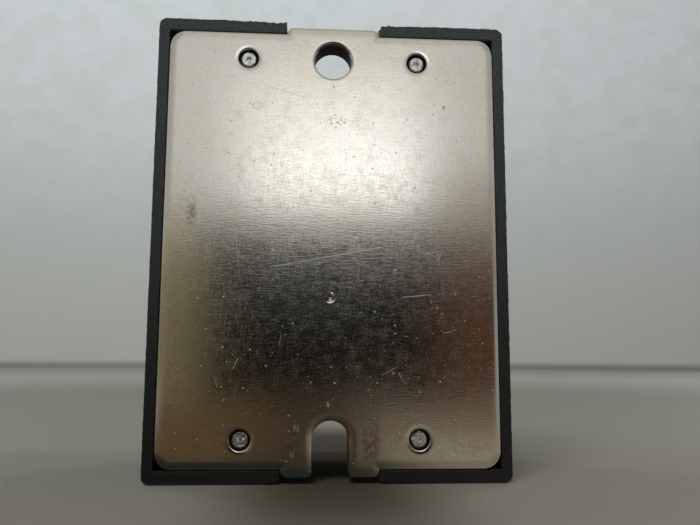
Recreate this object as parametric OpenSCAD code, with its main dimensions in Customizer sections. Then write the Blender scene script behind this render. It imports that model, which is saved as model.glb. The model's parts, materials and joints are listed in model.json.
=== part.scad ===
// Panel-mount solid state relay: a moulded case with four screw terminals, closed by a bare metal
// mounting plate that carries the heat of the power stage into a heat sink.
//
// Each sub-part is laid out lying on its mounting face: u across the width, v along the length, with
// +v towards the round mounting hole, and w up from the mounting face. upright() then stands the relay
// on its slot end, as it is fixed to a wall: the mounting face lies on the plane y = 0 and looks
// along +Y, the terminals look along -Y, and the origin is the centre of the mounting face.

/* [Case] */
// Width of the case
case_w = 44.5; // [44:0.1:46]
// Length of the case
case_l = 58; // [57.5:0.1:60]
// Height of the case above the mounting face
case_h = 27; // [26.5:0.5:30]
// Height of the barriers beside the terminal bays
barrier_h = 25; // [24:0.5:26.5]
// Height of the floor of the terminal bays
deck_h = 17; // [16.5:0.5:18]
// Wall beside the base plate, along the sides
side_wall = 1.45; // [1.2:0.05:1.6]
// Wall beside the base plate, at the ends
end_wall = 1.7; // [1.4:0.05:1.8]
// Wall above the base plate, which makes the ledge that the plate sits against
upper_wall = 2.2; // [2:0.1:2.4]
// Depth of the case rim behind the mounting face
rim_recess = 0.15; // [0.05:0.05:0.4]
// Radius of the notch around each mounting point
notch_r = 6; // [5.8:0.1:6.2]
// Radius of the case's upright corners
case_corner_r = 1; // [0.5:0.1:1.5]

/* [Base plate] */
// Thickness of the base plate
plate_t = 3.8; // [3:0.1:4]
// Distance between the mounting points
mount_pitch = 47.6; // [47.4:0.1:47.8]
// Diameter of the round mounting hole
hole_d = 4.8; // [4.4:0.1:5.2]
// Width of the open mounting slot
slot_w = 4.6; // [4.2:0.1:5]
// Width of the plate tabs in the case notches
tab_w = 11.8; // [11:0.1:11.9]
// Reach of the tabs from the plate's centre
tab_reach = 28.1; // [27.6:0.1:28.6]
// Gap between the plate's edge and the case
plate_gap = 0.1; // [0.05:0.05:0.2]

/* [Terminals] */
// Distance of each terminal screw from the long centre line
term_u = 14.2; // [14.2:0.1:14.4]
// Distance of each terminal screw from the cross centre line
term_v = 16.2; // [16.1:0.1:16.3]
// Thread diameter of the terminal screws
screw_d = 4; // [3.5:0.5:4]
// Length of the terminal screws under the head
screw_l = 10; // [9:0.5:10]
// Diameter of the terminal screw heads
head_d = 7.8; // [7:0.1:8]
// Height of the terminal screw heads
head_h = 3; // [2.4:0.1:3]
// Side of the square clamp plates
clamp_side = 8.4; // [8:0.1:8.6]

/* [Case screws] */
// Distance of each case screw from the long centre line
fix_u = 10.8; // [10.8:0.1:11.2]
// Thread diameter of the case screws
fix_d = 2.5; // [2.4:0.1:2.6]
// Length of the case screws under the head
fix_l = 12; // [11.5:0.1:12]

/* [Hidden] */
$fn = 64;
eps = 0.01;
// Gap between two pieces that rest on each other
seat = 0.04;

// Places of the four terminals, by number, as signs of u and v
TERMINAL_SIDES = [[-1, 1], [1, 1], [1, -1], [-1, -1]];

// Mounting points and case screws share one distance from the cross centre line
mount_v = mount_pitch / 2;

// Base plate
plate_w = case_w - 2 * side_wall - 2 * plate_gap;
plate_l = case_l - 2 * end_wall - 2 * plate_gap;
plate_corner_r = 2;
tab_corner_r = 1.2;

// Case
inner_w = case_w - 2 * upper_wall;
inner_l = case_l - 2 * upper_wall;
deck_t = 1.5;
roof_t = 1.8;
roof_under = case_h - roof_t;
block_l = 21;
block_inner_l = block_l - 2 * 1.5;
barrier_t = 1.5;
notch_wall = 1.5;
island_w = 2 * (notch_r + notch_wall);

// Case screws, their bosses and the wells over their heads
fix_tip = 0.3;
fix_seat = fix_tip + fix_l;
fix_boss_r = 4;
fix_head_d = 5;
fix_head_h = 1.7;
fix_well_d = 5.6;
fix_hole_r = fix_d / 2 + 0.04;

// Terminal plates and their leads
term_t = 1.2;
term_w = 9.4;
term_top = deck_h + term_t;
lead_t = 1;
lead_w = 4;
term_in = term_v - block_l / 2 - 0.25;
term_out = 4.6;
lead_slot_gap = 0.15;

// Square nuts, their pockets, and the blind bores below them
nut_side = 7;
nut_t = 2.2;
nut_top = deck_h - seat;
pocket_side = nut_side + 0.1;
pocket_floor = nut_top - nut_t - seat;
nut_block = 9.5;
nut_block_under = pocket_floor - 1.5;
blind_r = screw_d / 2 + 0.3;
blind_floor = 9.5;
blind_boss_r = 3.4;
blind_boss_under = blind_floor - 0.8;

// Clamp, lock washer and screw head, stacked on the terminal plate
clamp_t = 1;
clamp_ear_h = 0.8;
clamp_under = term_top + seat;
washer_t = 0.9;
washer_r = 3.3;
washer_under = clamp_under + clamp_t + seat;
head_under = washer_under + washer_t + seat;
clear_r = screw_d / 2 + 0.1;
nut_bore_r = screw_d / 2 + 0.03;

// Label recess and light window on the centre block
label_w = 38;
label_l = 12;
label_t = 0.3;
label_depth = 0.35;
label_v = 2.2;
lens_v = -6.4;
lens_r = 1.75;

// Circuit board
board_t = 1.6;
board_under = 10;
board_top = board_under + board_t;
board_w = 39;
board_l = 19;
on_board = board_top + seat;
post_r = 1.3;
post_u = 18;
post_v = 8;

// Power stage on the plate
substrate_w = 34;
substrate_l = 26;
substrate_t = 0.63;
substrate_under = plate_t + seat;
pad_under = substrate_under + substrate_t;
pad_t = 0.3;
pad_top = pad_under + pad_t;
pad_w = 8.5;
pad_l = 24;
pad_u = 12.25;
gate_pad = 2;
gate_u = 5;
gate_v = 7;
die_side = 6;
die_t = 0.4;
die_u = 12;
die_v = 4;
die_under = pad_top + seat;
die_top = die_under + die_t;
strap_w = 3;
strap_t = 0.3;
strap_bridge = 6.2;
potting_floor = 6.7;
potting_top = 8.6;

// ---------------------------------------------------------------- shared shapes

module upright() {
    rotate([90, 0, 0]) children();
}

// Rectangle centred on the origin, with round corners
module round_rect(w, l, r) {
    square([w - 2 * r, l], center = true);
    square([w, l - 2 * r], center = true);
    for (u = [-1, 1], v = [-1, 1])
        translate([u * (w / 2 - r), v * (l / 2 - r)]) circle(r);
}

// The same thing at both ends of the relay
module both_ends() {
    children();
    rotate(180) children();
}

// U-shaped outline of radius r about the mounting point, open past the +v end
module notch(r) {
    translate([0, mount_v]) circle(r);
    translate([-r, mount_v]) square([2 * r, case_l / 2 - mount_v + 1]);
}

// A terminal's own place, turned so that its +v points out of the nearest end
module at_terminal(n) {
    side = TERMINAL_SIDES[n - 1];
    translate([side.x * term_u, side.y * term_v, 0])
        rotate(side.y > 0 ? 0 : 180) children();
}

module at_all_terminals() {
    for (n = [1:4]) at_terminal(n) children();
}

module at_case_screws() {
    for (u = [-1, 1], v = [-1, 1]) translate([u * fix_u, v * mount_v, 0]) children();
}

// Solid of revolution with a domed top: radius r, height h, edge rounded over the last rim
module domed(r, h, rim) {
    steps = 8;
    rotate_extrude()
        polygon(concat(
            [[0, 0], [r, 0]],
            [for (i = [0:steps]) let (a = 90 * i / steps)
                [r - rim + rim * cos(a), h - rim + rim * sin(a)]],
            [[0, h]]));
}

// Pan head standing on w = 0, with a driver slot across a cross recess
module pan_head(d, h, slot) {
    difference() {
        domed(d / 2, h, h * 0.55);
        translate([0, 0, h - slot]) {
            translate([-d / 2 - 1, -slot / 2, 0]) cube([d + 2, slot, slot + 1]);
            translate([-slot / 2, -d / 4, 0]) cube([slot, d / 2, slot + 1]);
        }
    }
}

// Component lying on the board along u, with two bent wire leads
module axial_part(r, body_l, span) {
    lead_r = 0.3;
    lift = r + 0.4;
    rotate([0, 90, 0]) {
        cylinder(r = r, h = body_l, center = true, $fn = 32);
        cylinder(r = lead_r, h = span, center = true, $fn = 24);
    }
    for (s = [-1, 1])
        translate([s * (span / 2 - lead_r), 0, -lift]) cylinder(r = lead_r, h = lift, $fn = 24);
}

// ---------------------------------------------------------------- base plate

module plate_outline() {
    round_rect(plate_w, plate_l, plate_corner_r);
    round_rect(tab_w, 2 * tab_reach, tab_corner_r);
}

// Slot open at the -v end
module slot_outline() {
    translate([0, -mount_v]) circle(d = slot_w);
    translate([-slot_w / 2, -case_l / 2 - 1]) square([slot_w, case_l / 2 + 1 - mount_v]);
}

module base_plate() {
    color("lightgray") upright() difference() {
        linear_extrude(plate_t) difference() {
            plate_outline();
            slot_outline();
        }
        translate([0, mount_v, -1]) cylinder(d = hole_d, h = plate_t + 2);
        at_case_screws() translate([0, 0, -1]) cylinder(r = fix_hole_r, h = plate_t + 2);
    }
}

// ---------------------------------------------------------------- case

// Outer blank: skirt and deck, centre block, side barriers, and islands around the notches
module case_blank() {
    translate([0, 0, rim_recess]) linear_extrude(deck_h - rim_recess)
        round_rect(case_w, case_l, case_corner_r);
    translate([0, 0, deck_h - eps]) {
        linear_extrude(case_h - deck_h + eps)
            square([case_w, block_l], center = true);
        linear_extrude(barrier_h - deck_h + eps) {
            both_ends() translate([-island_w / 2, 0]) square([island_w, case_l / 2]);
            difference() {
                round_rect(case_w, case_l, case_corner_r);
                square([case_w - 2 * barrier_t, case_l + 1], center = true);
            }
        }
    }
}

// Space above the plate, inside the walls, as an outline
module cavity_outline(gap) {
    difference() {
        square([inner_w - 2 * gap, inner_l - 2 * gap], center = true);
        both_ends() notch(notch_r + notch_wall + gap);
    }
}

module case_hollows() {
    // seat of the base plate, open downwards
    translate([0, 0, -1]) linear_extrude(plate_t + 1)
        square([case_w - 2 * side_wall, case_l - 2 * end_wall], center = true);
    // main space under the deck
    translate([0, 0, plate_t - eps]) linear_extrude(deck_h - deck_t - plate_t + eps)
        cavity_outline(0);
    // space inside the centre block
    translate([0, 0, plate_t]) linear_extrude(roof_under - plate_t)
        square([inner_w, block_inner_l], center = true);
}

module case_bosses() {
    // bosses of the case screws
    at_case_screws() translate([0, 0, plate_t]) cylinder(r = fix_boss_r, h = deck_h - plate_t - eps);
    // blocks around the nuts, and bosses of the blind bores
    at_all_terminals() {
        translate([-nut_block / 2, -nut_block / 2, nut_block_under])
            cube([nut_block, nut_block, deck_h - nut_block_under - eps]);
        translate([0, 0, blind_boss_under])
            cylinder(r = blind_boss_r, h = deck_h - blind_boss_under - eps);
    }
    // posts that hold the circuit board down
    for (u = [-1, 1], v = [-1, 1]) translate([u * post_u, v * post_v, on_board])
        cylinder(r = post_r, h = roof_under - on_board + eps, $fn = 32);
}

// Nut pocket, blind bore and lead slot of one terminal
module terminal_cuts() {
    translate([-pocket_side / 2, -pocket_side / 2, pocket_floor])
        cube([pocket_side, pocket_side, deck_h]);
    translate([0, 0, blind_floor]) cylinder(r = blind_r, h = deck_h);
    translate([-lead_w / 2 - lead_slot_gap, -term_in - lead_slot_gap, plate_t + 1])
        cube([lead_w + 2 * lead_slot_gap, lead_t + 2 * lead_slot_gap, deck_h - plate_t]);
}

module case() {
    color("dimgray") upright() difference() {
        union() {
            difference() {
                case_blank();
                case_hollows();
            }
            case_bosses();
        }
        // notches, right through
        translate([0, 0, -1]) linear_extrude(case_h + 2) both_ends() notch(notch_r);
        at_all_terminals() terminal_cuts();
        // case screw holes, and wells over the heads
        at_case_screws() {
            translate([0, 0, plate_t - 1]) cylinder(r = fix_hole_r, h = case_h);
            translate([0, 0, fix_seat - seat]) cylinder(d = fix_well_d, h = case_h);
        }
        // label recess and light window
        translate([0, label_v, case_h - label_depth]) linear_extrude(1)
            square([label_w + 0.1, label_l + 0.1], center = true);
        translate([0, lens_v, roof_under - 1]) cylinder(r = lens_r + 0.05, h = roof_t + 2);
    }
}

module case_screws() {
    tip_r = 0.85;
    tip_l = 0.8;
    crater_r = 0.35;
    color("silver") upright() at_case_screws() {
        translate([0, 0, fix_seat]) pan_head(fix_head_d, fix_head_h, 0.7);
        difference() {
            union() {
                translate([0, 0, fix_tip + tip_l]) cylinder(d = fix_d, h = fix_l - tip_l + eps);
                translate([0, 0, fix_tip]) cylinder(r1 = tip_r, r2 = fix_d / 2, h = tip_l + eps);
            }
            translate([0, 0, fix_tip - eps]) cylinder(r1 = crater_r, r2 = 0.1, h = 0.3);
        }
    }
}

// ---------------------------------------------------------------- terminals

// Terminal plate on the deck, with its lead down through the deck to the height lead_end
module terminal(lead_end) {
    difference() {
        translate([-term_w / 2, -term_in, deck_h]) cube([term_w, term_in + term_out, term_t]);
        translate([0, 0, deck_h - 1]) cylinder(r = clear_r, h = term_t + 2);
    }
    translate([-lead_w / 2, -term_in, lead_end]) cube([lead_w, lead_t, deck_h - lead_end + eps]);
}

module load_terminal(n) {
    color("lightgoldenrodyellow") upright() at_terminal(n) terminal(pad_top + seat);
}

// A control lead ends in a foot that lies on the circuit board
module control_terminal(n) {
    foot_reach = 3;
    color("lightgoldenrodyellow") upright() at_terminal(n) {
        terminal(on_board);
        translate([-lead_w / 2, -term_in - foot_reach, on_board])
            cube([lead_w, foot_reach + lead_t, lead_t]);
    }
}

module load_terminal_1() { load_terminal(1); }
module load_terminal_2() { load_terminal(2); }
module control_terminal_3() { control_terminal(3); }
module control_terminal_4() { control_terminal(4); }

module terminal_nuts() {
    color("silver") upright() at_all_terminals() translate([0, 0, nut_top - nut_t])
        difference() {
            translate([-nut_side / 2, -nut_side / 2, 0]) cube([nut_side, nut_side, nut_t]);
            translate([0, 0, -1]) cylinder(r = nut_bore_r, h = nut_t + 2);
        }
}

// Square wire clamp with two ears turned up beside the lock washer
module clamp_plate(n) {
    ear_t = 0.6;
    color("gainsboro") upright() at_terminal(n) translate([0, 0, clamp_under]) difference() {
        union() {
            linear_extrude(clamp_t) round_rect(clamp_side, clamp_side, 0.8);
            for (s = [-1, 1])
                translate([s * (clamp_side - ear_t) / 2 - ear_t / 2, -clamp_side / 4, clamp_t - eps])
                    cube([ear_t, clamp_side / 2, clamp_ear_h]);
        }
        translate([0, 0, -1]) cylinder(r = clear_r, h = clamp_t + 3);
    }
}

module clamp_1() { clamp_plate(1); }
module clamp_2() { clamp_plate(2); }
module clamp_3() { clamp_plate(3); }
module clamp_4() { clamp_plate(4); }

// Spring lock washer, split on one side
module lock_washer(n) {
    split = 0.4;
    color("silver") upright() at_terminal(n) translate([0, 0, washer_under]) difference() {
        cylinder(r = washer_r, h = washer_t);
        translate([0, 0, -1]) cylinder(r = clear_r, h = washer_t + 2);
        translate([0, -split / 2, -1]) cube([washer_r + 1, split, washer_t + 2]);
    }
}

module lock_washer_1() { lock_washer(1); }
module lock_washer_2() { lock_washer(2); }
module lock_washer_3() { lock_washer(3); }
module lock_washer_4() { lock_washer(4); }

module terminal_screw(n) {
    tip_l = 0.6;
    color("silver") upright() at_terminal(n) translate([0, 0, head_under]) {
        pan_head(head_d, head_h, 1.1);
        translate([0, 0, tip_l - screw_l]) cylinder(d = screw_d, h = screw_l - tip_l + eps);
        translate([0, 0, -screw_l])
            cylinder(r1 = screw_d / 2 - tip_l, r2 = screw_d / 2, h = tip_l + eps);
    }
}

module terminal_screw_1() { terminal_screw(1); }
module terminal_screw_2() { terminal_screw(2); }
module terminal_screw_3() { terminal_screw(3); }
module terminal_screw_4() { terminal_screw(4); }

// ---------------------------------------------------------------- label and light

module label_plate() {
    color("gainsboro") upright()
        translate([0, label_v, case_h - label_depth + seat / 2])
            linear_extrude(label_t) square([label_w, label_l], center = true);
}

// Clear window, flanged under the roof and slightly domed above it
module led_lens() {
    flange_r = 2.4;
    flange_t = 0.6;
    color("tomato") upright() translate([0, lens_v, roof_under - seat]) {
        translate([0, 0, -flange_t]) cylinder(r = flange_r, h = flange_t + eps);
        domed(lens_r, roof_t + 0.3, 0.6);
    }
}

module led() {
    lead_pitch = 2.54;
    lead_r = 0.25;
    body_under = 19.3;
    color("red") upright() translate([0, lens_v, 0]) {
        translate([0, 0, body_under]) {
            cylinder(r = 1.9, h = 1);
            domed(1.5, 4.9, 1.49);
        }
        for (s = [-1, 1]) translate([s * lead_pitch / 2, 0, on_board])
            cylinder(r = lead_r, h = body_under - on_board + eps, $fn = 24);
    }
}

// ---------------------------------------------------------------- circuit board and its components

module circuit_board() {
    color("darkgreen") upright() translate([0, 0, board_under]) linear_extrude(board_t)
        difference() {
            round_rect(board_w, board_l, 1);
            both_ends() translate([gate_u, gate_v]) circle(0.45, $fn = 24);
        }
}

// Six-pin package across the isolation gap
opto_l = 8.9;
opto_w = 6.4;
opto_v = -1.3;
module optocoupler() {
    color("black") upright() translate([0, opto_v, on_board + 0.5]) difference() {
        translate([-opto_l / 2, -opto_w / 2, 0]) cube([opto_l, opto_w, 3.3]);
        translate([-opto_l / 2, 0, 3]) cylinder(r = 0.9, h = 1);
    }
}

module optocoupler_pins() {
    pin_pitch = 2.54;
    pin_t = 0.3;
    pin_w = 0.8;
    pin_gap = 0.02;
    color("silver") upright() translate([0, opto_v, on_board])
        for (i = [-1:1], s = [-1, 1])
            translate([i * pin_pitch - pin_w / 2, s * (opto_w / 2 + pin_gap + pin_t / 2) - pin_t / 2, 0])
                cube([pin_w, pin_t, 2.2]);
}

module resistors() {
    body_r = 1.1;
    color("tan") upright() for (u = [-10.5, 10.5], v = [-4.6, -1.4])
        translate([u, v, on_board + body_r + 0.4]) axial_part(body_r, 6.3, 10);
}

module protection_diode() {
    body_r = 1.2;
    color("dimgray") upright() translate([6.2, -7.2, on_board + body_r + 0.4])
        axial_part(body_r, 4.2, 7);
}

// Three-lead transistor with one flat side
module transistor() {
    body_r = 2.3;
    body_h = 4.6;
    stand = 2.2;
    color("black") upright() translate([0, 5.6, on_board]) {
        translate([0, 0, stand]) difference() {
            cylinder(r = body_r, h = body_h);
            translate([-body_r - 1, -body_r - 1, -1]) cube([2 * body_r + 2, 2, body_h + 2]);
        }
        for (i = [-1:1]) translate([i * 1.27, 0, 0]) cylinder(r = 0.25, h = stand + eps, $fn = 24);
    }
}

module snubber_capacitor() {
    color("goldenrod") upright() translate([6.2, 2.3, on_board]) cube([10, 4.5, 8]);
}

// Disc across the load side, standing on two leads
module varistor() {
    disc_r = 4.4;
    disc_t = 3.2;
    color("royalblue") upright() translate([-10.5, 5, on_board]) {
        translate([0, 0, disc_r + 1.5]) rotate([90, 0, 0])
            cylinder(r = disc_r, h = disc_t, center = true);
        for (s = [-1, 1]) translate([s * 2.5, 0, 0]) cylinder(r = 0.35, h = 3.5, $fn = 24);
    }
}

// ---------------------------------------------------------------- power stage

module ceramic_substrate() {
    color("white") upright() translate([0, 0, substrate_under]) linear_extrude(substrate_t)
        round_rect(substrate_w, substrate_l, 0.5);
}

// Two large load pads and two small gate pads
module copper_pads() {
    color("orange") upright() translate([0, 0, pad_under]) both_ends() {
        translate([pad_u - pad_w / 2, -pad_l / 2, 0]) cube([pad_w, pad_l, pad_t]);
        translate([gate_u - gate_pad / 2, gate_v - gate_pad / 2, 0]) cube([gate_pad, gate_pad, pad_t]);
    }
}

module thyristor_dies() {
    color("slategray") upright() both_ends()
        translate([die_u - die_side / 2, die_v - die_side / 2, die_under])
            cube([die_side, die_side, die_t]);
}

// Bent strap from the top of one die to the load pad on the other side
module die_straps() {
    near = die_u - die_side / 2 + 1;
    far = die_u - 3;
    die_foot = die_top + seat;
    pad_foot = pad_top + seat;
    color("orange") upright() both_ends() translate([0, die_v - strap_w / 2, 0]) {
        translate([near, 0, die_foot]) cube([3, strap_w, strap_t]);
        translate([near, 0, die_foot]) cube([strap_t, strap_w, strap_bridge - die_foot]);
        translate([-far, 0, strap_bridge - eps]) cube([near + far + strap_t, strap_w, strap_t]);
        translate([-far, 0, pad_foot]) cube([strap_t, strap_w, strap_bridge - pad_foot]);
        translate([-far - 2, 0, pad_foot]) cube([2 + strap_t, strap_w, strap_t]);
    }
}

// Thin wire from the corner of each die to its gate pad
module gate_wires() {
    wire_r = 0.15;
    loop_h = 5.9;
    die_end = die_u - die_side / 2 + 0.5;
    color("gainsboro") upright() both_ends() translate([0, gate_v - 0.6, 0]) {
        translate([gate_u + 0.6, 0, loop_h]) rotate([0, 90, 0])
            cylinder(r = wire_r, h = die_end - gate_u - 0.6, $fn = 16);
        translate([gate_u + 0.6, 0, pad_top + seat])
            cylinder(r = wire_r, h = loop_h - pad_top - seat, $fn = 16);
        translate([die_end, 0, die_top + seat])
            cylinder(r = wire_r, h = loop_h - die_top - seat, $fn = 16);
    }
}

module gate_pins() {
    color("silver") upright() both_ends() translate([gate_u, gate_v, pad_top + seat])
        cylinder(r = 0.35, h = on_board + 0.8 - pad_top, $fn = 24);
}

// Filling over the power stage, clear of the leads and pins that pass through it
module potting() {
    gap = 0.05;
    color("darkslategray") upright() {
        difference() {
            translate([0, 0, plate_t + gap]) linear_extrude(potting_top - plate_t - gap)
                difference() {
                    cavity_outline(gap);
                    at_case_screws() circle(fix_boss_r + gap);
                    // corners between the screw bosses and the notches
                    both_ends() translate([0, case_l / 2]) square([2 * fix_u, fix_well_d * 2], center = true);
                }
            // room over the dies and straps
            translate([0, 0, plate_t]) linear_extrude(potting_floor - plate_t)
                square([substrate_w + 0.4, substrate_l + 0.4], center = true);
            for (n = [1, 2]) at_terminal(n)
                translate([-lead_w / 2 - gap, -term_in - gap, plate_t])
                    cube([lead_w + 2 * gap, lead_t + 2 * gap, potting_top]);
            both_ends() translate([gate_u, gate_v, plate_t]) cylinder(r = 0.4, h = potting_top, $fn = 24);
        }
    }
}

// ---------------------------------------------------------------- output

base_plate();
case();
case_screws();
load_terminal_1();
load_terminal_2();
control_terminal_3();
control_terminal_4();
terminal_nuts();
clamp_1();
clamp_2();
clamp_3();
clamp_4();
lock_washer_1();
lock_washer_2();
lock_washer_3();
lock_washer_4();
terminal_screw_1();
terminal_screw_2();
terminal_screw_3();
terminal_screw_4();
label_plate();
led_lens();
led();
circuit_board();
ceramic_substrate();
copper_pads();
thyristor_dies();
die_straps();
gate_wires();
gate_pins();
optocoupler();
optocoupler_pins();
resistors();
protection_diode();
transistor();
snubber_capacitor();
varistor();
potting();
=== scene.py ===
"""Looks of a panel-mount solid state relay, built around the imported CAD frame.

The relay stands on its slot end, with its bare metal mounting face towards +Y and its terminals towards -Y.
Sizes are in millimetres, in the part's own lying frame: u across the width, v along the length, w up from
the mounting face. place() turns such a point into the row frame, in metres.
"""

import json
from math import atan2, copysign, cos, degrees, hypot, pi, radians, sin, sqrt

import bmesh
import bpy
from mathutils import Matrix, Vector, noise
from mathutils.geometry import delaunay_2d_cdt


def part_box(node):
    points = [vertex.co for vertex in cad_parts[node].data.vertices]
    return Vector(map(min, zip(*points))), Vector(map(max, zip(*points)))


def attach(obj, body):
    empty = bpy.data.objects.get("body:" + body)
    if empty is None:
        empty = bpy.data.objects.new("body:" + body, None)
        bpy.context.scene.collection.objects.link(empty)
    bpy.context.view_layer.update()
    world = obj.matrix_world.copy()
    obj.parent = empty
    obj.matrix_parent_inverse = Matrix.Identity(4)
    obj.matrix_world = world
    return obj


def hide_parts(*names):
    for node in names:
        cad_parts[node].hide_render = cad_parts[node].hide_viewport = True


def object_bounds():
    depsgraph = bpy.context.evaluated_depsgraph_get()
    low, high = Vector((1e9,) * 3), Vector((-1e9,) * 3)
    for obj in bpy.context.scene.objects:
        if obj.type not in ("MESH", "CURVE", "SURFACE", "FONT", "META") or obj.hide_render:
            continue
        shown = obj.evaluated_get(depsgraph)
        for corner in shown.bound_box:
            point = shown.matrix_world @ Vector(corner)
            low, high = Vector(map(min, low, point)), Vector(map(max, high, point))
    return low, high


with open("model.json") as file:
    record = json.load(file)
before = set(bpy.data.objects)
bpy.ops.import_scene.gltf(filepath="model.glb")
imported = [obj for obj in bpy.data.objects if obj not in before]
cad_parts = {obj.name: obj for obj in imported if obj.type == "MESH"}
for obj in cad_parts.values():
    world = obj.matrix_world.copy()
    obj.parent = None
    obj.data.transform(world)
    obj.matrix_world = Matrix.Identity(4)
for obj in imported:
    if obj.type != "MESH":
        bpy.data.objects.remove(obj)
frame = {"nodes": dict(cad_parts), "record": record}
cad_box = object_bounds()
nodes = frame["nodes"]

MM = 0.001
UPRIGHT = Matrix(((MM, 0, 0, 0), (0, 0, -MM, 0), (0, MM, 0, 0), (0, 0, 0, 1)))


def place(u, v, w):
    """A point of the lying frame, in mm, in the row frame, in metres."""
    return UPRIGHT @ Vector((u, v, w))


def node_box(name):
    """Lowest and highest (u, v, w) of a CAD node, in mm."""
    low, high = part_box(name)
    return (low.x / MM, low.z / MM, -high.y / MM), (high.x / MM, high.z / MM, -low.y / MM)


# ---------------------------------------------------------------- dimensions, read from the frame

_, (plate_half_w, tab_reach, plate_t) = node_box("base_plate")
(_, _, rim_w), (case_half_w, case_half_l, case_h) = node_box("case")
mounts = {m["name"]: m for m in frame["record"]["mounts"]}
mount_v = mounts["mounting_hole"]["pos_m"][2] / MM
hole_r = mounts["mounting_hole"]["dims"]["r_mm"]
TERMINALS = {n: (mounts[f"terminal_{n}"]["pos_m"][0] / MM, mounts[f"terminal_{n}"]["pos_m"][2] / MM)
             for n in (1, 2, 3, 4)}
_, screw_high = node_box("case_screws")
fix_head_r = 2.5
fix_u, fix_v = screw_high[0] - fix_head_r, screw_high[1] - fix_head_r
CASE_SCREWS = [(su * fix_u, sv * fix_v) for su in (-1, 1) for sv in (-1, 1)]
slot_half = 2.3
tab_half = 5.9
plate_half_l = 27.2
label_low, label_high = node_box("label_plate")


# ---------------------------------------------------------------- mesh tools

def linked(name, data):
    """A new object of the scene."""
    made = bpy.data.objects.new(name, data)
    bpy.context.scene.collection.objects.link(made)
    return made


def shade(mesh, smooth=True):
    mesh.polygons.foreach_set("use_smooth", [smooth] * len(mesh.polygons))


def even_shading(piece, weight, keep_sharp=False):
    even = piece.modifiers.new("even", "WEIGHTED_NORMAL")
    even.weight, even.keep_sharp = weight, keep_sharp


def mesh_of(name, bm):
    """Mesh from a bmesh, which is freed."""
    mesh = bpy.data.meshes.new(name)
    bm.to_mesh(mesh)
    bm.free()
    return mesh


def new_object(name, mesh, body, material, replaced=()):
    """Links a finished mesh, gives it its material, and lets it ride on its body."""
    piece = linked(name, mesh)
    mesh.materials.clear()
    mesh.materials.append(material)
    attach(piece, body)
    if replaced:
        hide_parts(*replaced)
    return piece


def mesh_from(name, points, faces, smooth=True):
    """Mesh from points of the lying frame, in mm."""
    mesh = bpy.data.meshes.new(name)
    mesh.from_pydata([place(*p) for p in points], [], faces)
    tidy_mesh(mesh)
    shade(mesh, smooth)
    return mesh


def tidy_mesh(mesh):
    """Joins doubled points and turns every face outwards."""
    bm = bmesh.new()
    bm.from_mesh(mesh)
    bmesh.ops.remove_doubles(bm, verts=bm.verts, dist=1e-7)
    bmesh.ops.recalc_face_normals(bm, faces=bm.faces)
    bm.to_mesh(mesh)
    bm.free()
    mesh.update()


def rings_to_faces(rings, size):
    """Quads between neighbouring rings of equal size."""
    faces = []
    for i in range(rings - 1):
        a, b = i * size, (i + 1) * size
        faces += [(a + j, a + (j + 1) % size, b + (j + 1) % size, b + j) for j in range(size)]
    return faces


def closed_stack(rings, size):
    """Quads between neighbouring rings of equal size, and a cap on each end."""
    return rings_to_faces(rings, size) + [tuple(range(size)), tuple(range((rings - 1) * size, rings * size))]


def circle(u, v, r, w, steps):
    """Points of a circle, counter-clockwise for positive steps."""
    count = abs(steps)
    return [(u + r * cos(2 * pi * k / steps), v + r * sin(2 * pi * k / steps), w)
            for k in range(count)]


def lathe(profile, steps=64):
    """Points and faces of a solid of revolution about the w axis, from (radius, w) pairs."""
    return [p for r, w in profile for p in circle(0, 0, r, w, steps)], closed_stack(len(profile), steps)


def moved(points, u=0.0, v=0.0, w=0.0, turn=0.0):
    """Points turned about the w axis by turn degrees and then moved."""
    c, s = cos(radians(turn)), sin(radians(turn))
    return [(p[0] * c - p[1] * s + u, p[0] * s + p[1] * c + v, p[2] + w) for p in points]


def rounded_loop(corners, inset=0.0, arc_steps=8, least=0.2):
    """Outline through corners (u, v, radius), counter-clockwise, moved inwards by inset.
    A convex radius shrinks with the inset, and a concave one, given as negative, grows."""
    count, loop = len(corners), []
    for i, (u, v, radius) in enumerate(corners):
        here = Vector((u, v))
        before = (here - Vector(corners[i - 1][:2])).normalized()
        after = (Vector(corners[(i + 1) % count][:2]) - here).normalized()
        inward_a, inward_b = Vector((-before.y, before.x)), Vector((-after.y, after.x))
        corner = here + (inward_a + inward_b) * (inset / (1 + inward_a.dot(inward_b)))
        turn = before.x * after.y - before.y * after.x
        if turn > 0:
            r = max(radius - inset, min(least, radius))
        else:
            r = -radius + (inset if -radius > 1 else 0.55 * inset)
        centre = corner + (after - before).normalized() * r * sqrt(2)
        start = atan2(*reversed((corner - before * r - centre)[:]))
        sweep = copysign(pi / 2, turn)
        loop += [(centre.x + r * cos(start + sweep * k / arc_steps),
                  centre.y + r * sin(start + sweep * k / arc_steps)) for k in range(arc_steps + 1)]
    return loop


def rectangle(w, l, r, u=0.0, v=0.0):
    """Corners for rounded_loop of a centred rectangle."""
    return [(u + su * w / 2, v + sv * l / 2, r) for su, sv in ((1, -1), (1, 1), (-1, 1), (-1, -1))]


def slab(corners, low, high, edge=0.1, arc_steps=6, edge_steps=3):
    """Points and faces of a plate between two heights, with its rims rounded by edge."""
    turns = [pi / 2 * k / edge_steps for k in range(edge_steps + 1)]
    profile = [(edge * (1 - sin(a)), low + edge * (1 - cos(a))) for a in turns]
    profile += [(edge * (1 - cos(a)), high - edge * (1 - sin(a))) for a in turns]
    rings = [[(u, v, w) for u, v in rounded_loop(corners, inset, arc_steps, 0.02)] for inset, w in profile]
    return [p for ring in rings for p in ring], closed_stack(len(rings), len(rings[0]))


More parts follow.
